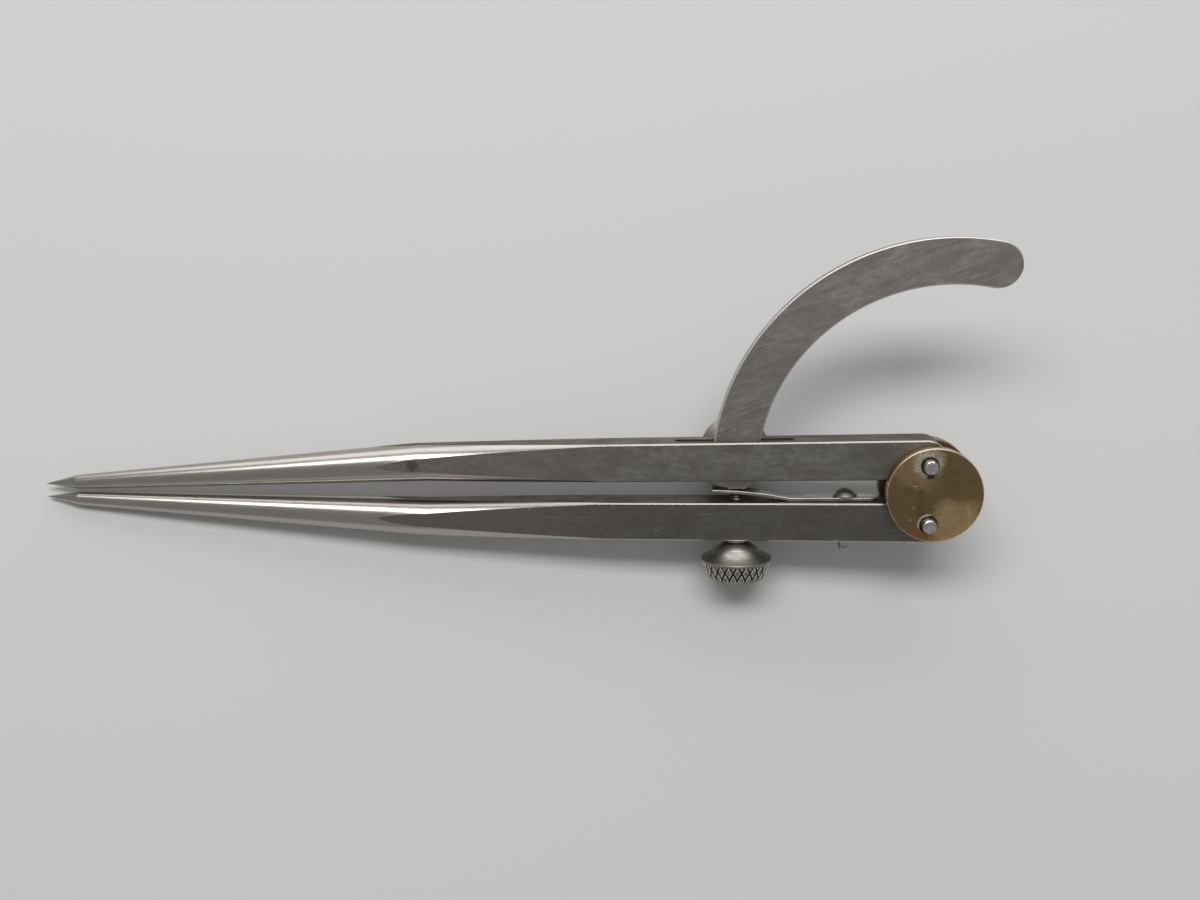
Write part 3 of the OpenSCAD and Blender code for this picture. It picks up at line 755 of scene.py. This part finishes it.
def knob(rows_before, rows_after):
    """Turned knob: a profile (radius, height) carried round its axis. On the rim the radius loses
    depth (1 - ridge), where ridge is the lesser of two saw waves round the rim, leaning opposite ways,
    held at 1 to leave flat-topped diamonds. The dome swells by sin(2 pi u) near its neck and carries fine
    turned rings, as a sine wave. Its edge is a quarter circle with the cosine raised to a power. Finish is
    0 in the bottom of the grooves, 1 on their edges, 2 on the tops of the diamonds and 3 on plain metal."""
    u = np.linspace(0, 1, ring_count * 8 + 1)[:, None]
    dome = np.hstack([
        neck_r + (knob_r - edge_round - neck_r) * u,
        neck_h + (dome_h - edge_round - neck_h) * u - dome_swell * np.sin(2 * np.pi * u)
        + ring_depth * np.sin(2 * np.pi * ring_count * u),
    ])
    turned = np.linspace(0, np.pi / 2, 5)[1:-1, None]
    corner = np.hstack([
        knob_r - edge_round * (1 - np.sin(turned)), dome_h - edge_round * np.cos(turned) ** edge_power,
    ])
    rim_h = np.linspace(dome_h, knob_h - end_chamfer, 40)
    rim = np.stack([np.interp(rim_h, rim_h[[0, -1]], [knob_r, knob_end_r]), rim_h], -1)
    profile = np.vstack([rows_before, dome, corner, rim, [[knob_end_r - end_chamfer, knob_h]], rows_after])
    round_count = knurl_lines * knurl_columns
    around = np.arange(round_count) * 2 * np.pi / round_count
    radius, height = profile[:, :1], profile[:, 1:]
    phases = [knurl_lines * around + lean * (height - knurl_cross) for lean in (knurl_lean, -knurl_lean)]
    saws = [np.abs(phase / np.pi % 2 - 1) for phase in phases]
    rolled = knurl_rise * np.minimum(*saws)
    ridge = np.clip(rolled, 0, 1)
    start = len(rows_before) + len(dome) + len(corner)
    on_rim = np.zeros(len(profile))
    on_rim[start:start + len(rim)] = np.clip((rim_h - dome_h - rim_margin) / rim_lead, 0, 1)
    radius = radius - knurl_depth * on_rim[:, None] * (1 - ridge)
    shape = np.stack([radius * np.cos(around), radius * np.sin(around), height + 0 * radius], -1)
    length = np.concatenate([[0], np.cumsum(np.linalg.norm(np.diff(profile, axis=0), axis=1))])
    grain = np.stack([around * radius, length[:, None] + 0 * radius, radius], -1)
    finish = 3 + on_rim[:, None] * (rolled - 3)
    crease = np.zeros(radius.shape, int)
    edges = np.array([len(rows_before), start + len(rim) - 1, start + len(rim)])
    crease[edges] = edges[:, None] + 1
    quads = wrapped_quads(*radius.shape).reshape(-1, 4)
    return shape, quads, grain.reshape(-1, 3), finish.ravel(), crease.ravel()


knob_steel, tree, shader = surface("knob_steel")
grain, finish = finish_of(tree)
_, along_turning, off_axis = node(tree, "ShaderNodeSeparateXYZ", {}, {0: grain}).outputs
turning = use(tree, rings, Along=along_turning, Pitch=0.16)["Height"]
patches = use(tree, stains, Place=grain, Size=1.2, Stretch=1.5)["Mask"]
metal = lay(tree, fade(tree, turning, 0.35, 0.65), (0.56, 0.54, 0.5), (0.74, 0.72, 0.67))
metal = lay(tree, part_of(tree, 0.55, patches), metal, (0.27, 0.255, 0.225))
# Painted shade: the outer part of each dome and end is painted darker, so only the dome near its neck looks
# bright
metal = lay(tree, fade(tree, off_axis, 3.3, 4.7, 0.0, 0.7), metal, (0.22, 0.2, 0.168))
tops = lay(tree, patches, (0.33, 0.31, 0.268), (0.19, 0.175, 0.146))
worn = number(tree, "MULTIPLY", fade(tree, finish, 1.1, 0.98), fade(tree, finish, 0.6, 0.75))
colour = lay(tree, fade(tree, finish, 2.3, 2.9), tops, metal)
colour = lay(tree, worn, colour, (0.8, 0.78, 0.72))
colour = lay(tree, fade(tree, finish, 0.65, 0.4), colour, (0.05, 0.045, 0.037))
tree.links.new(colour, shader["Base Color"])
dull = number(tree, "MULTIPLY_ADD", patches, 0.1, 0.36)
tree.links.new(fade(tree, worn, 0.0, 1.0, dull, 0.55), shader["Roughness"])
tree.links.new(bump(tree, turning, 0.00002), shader["Normal"])
shader["Metallic"].default_value = 1

bore_r = 1.14
bore_chamfer = 0.15
nut_y = 8.024
end_r = knob_end_r - end_chamfer
nut_bore = [[bore_r + bore_chamfer, knob_h], [bore_r, knob_h - bore_chamfer], [bore_r, 0], [neck_r, 0]]
shape, quads, grain, finish, crease = knob([[neck_r, 0]], nut_bore)
placed = np.stack([shape[..., 0] - stem_at, -nut_y - shape[..., 2], shape[..., 1]], -1)
nut = steel_piece("adjusting_nut_knob", placed.reshape(-1, 3), quads, grain, finish, crease)

clamp_y = 4.879
clamp_z = 3.995
shank_len = 2.745
shank_chamfer = 0.25
shank_end = [[neck_r - shank_chamfer, -shank_len], [neck_r, shank_chamfer - shank_len]]
shank = [[0, -shank_len], *shank_end, [neck_r, 0]]
shape, quads, grain, finish, crease = knob(shank, [[end_r / 2, knob_h], [0, knob_h]])
placed = np.stack([shape[..., 0] - stem_at, clamp_y + shape[..., 1], -clamp_z - shape[..., 2]], -1)
clamp = steel_piece("clamp_screw_knob", placed.reshape(-1, 3), quads, grain, finish, crease)
for piece, body in ((nut, "adjusting_nut"), (clamp, "clamp_screw")):
    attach(piece, body)
    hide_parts(body)
    piece.data.materials.append(knob_steel)

screw_at = 12.3
screw_steel, tree, shader = surface("screw_steel")
place = tool_place(tree, (-screw_at, 0, 0))
across_axis = vector(tree, "MULTIPLY", place, (1, 0, 1)).outputs[0]
from_axis = vector(tree, "DISTANCE", across_axis, (0, 0, 0)).outputs["Value"]
turning = use(tree, rings, Along=from_axis, Pitch=0.12)["Height"]
patches = use(tree, stains, Place=place, Size=0.7, Stretch=1.0)["Mask"]
colour = lay(tree, fade(tree, turning, 0.35, 0.7), (0.44, 0.425, 0.39), (0.6, 0.585, 0.545))
colour = lay(tree, part_of(tree, 0.5, patches), colour, (0.22, 0.2, 0.17))
tree.links.new(colour, shader["Base Color"])
tree.links.new(number(tree, "MULTIPLY_ADD", patches, 0.14, 0.36), shader["Roughness"])
tree.links.new(bump(tree, turning, 0.00001), shader["Normal"])
shader["Metallic"].default_value = 1
frame["nodes"]["spring_screw"].data.materials.clear()
frame["nodes"]["spring_screw"].data.materials.append(screw_steel)


# Bench, light and camera
# A plain pale bench top, a soft lamp over the tool and a low one behind its wing, and a camera that
# looks almost straight down, where the tool was seen from.
bench_half = 4.0
bench_corners = bench_half * np.array([(-1, -1, 0), (1, -1, 0), (1, 1, 0), (-1, 1, 0)])
bench = bpy.data.meshes.new("bench")
bench.from_pydata(bench_corners.tolist(), [], [(0, 1, 2, 3)])
bench_top = bpy.data.objects.new("bench", bench)
bpy.context.scene.collection.objects.link(bench_top)
pale, tree, shader = surface("pale_bench")
shader["Base Color"].default_value = (0.6, 0.6, 0.59, 1)
shader["Roughness"].default_value = 0.9
bench.materials.append(pale)

sky = bpy.data.worlds.new("soft_light")
sky.use_nodes = True
sky.node_tree.nodes["Background"].inputs["Color"].default_value = (0.3, 0.3, 0.3, 1)
bpy.context.scene.world = sky


def soft_lamp(name, place, target, width, height, watts):
    """Flat lamp at a place, facing a target."""
    data = bpy.data.lights.new(name, "AREA")
    data.shape = "RECTANGLE"
    data.size, data.size_y, data.energy = width, height, watts
    lamp = bpy.data.objects.new(name, data)
    back = np.array(place) - np.array(target)
    back = back / np.linalg.norm(back)
    side = np.cross([0.0, 1.0, 0.0], back)
    side = side / np.linalg.norm(side)
    turn = np.eye(4)
    turn[:3, 0], turn[:3, 1], turn[:3, 2], turn[:3, 3] = side, np.cross(back, side), back, place
    lamp.matrix_world = Matrix(turn.tolist())
    lamp.visible_camera = False
    bpy.context.scene.collection.objects.link(lamp)


soft_lamp("over_tool", (-0.02, 0.28, 0.7), (0, 0, 0), 0.8, 0.22, 4.0)
soft_lamp("behind_wing", (0, 0.85, 0.36), (0, 0, 0), 1.3, 0.55, 3.4)

camera = bpy.data.cameras.new("camera")
camera.lens, camera.sensor_width = 38.68, 36.0
camera.clip_start = 0.01
seen_from = np.array([-38.20, 47.06, 203.34])
right = np.array([0.99794, -0.01696, -0.06191])
up = np.array([0.00448, 0.98049, -0.19652])
view = np.eye(4)
view[:3, :3] = (np.array([right, up, np.cross(right, up)]) @ tool_axes).T
view[:3, 3] = in_frame(seen_from)
viewer = bpy.data.objects.new("camera", camera)
viewer.matrix_world = Matrix(view.tolist())
bpy.context.scene.collection.objects.link(viewer)
bpy.context.scene.camera = viewer
bpy.context.scene.view_settings.view_transform = "Standard"
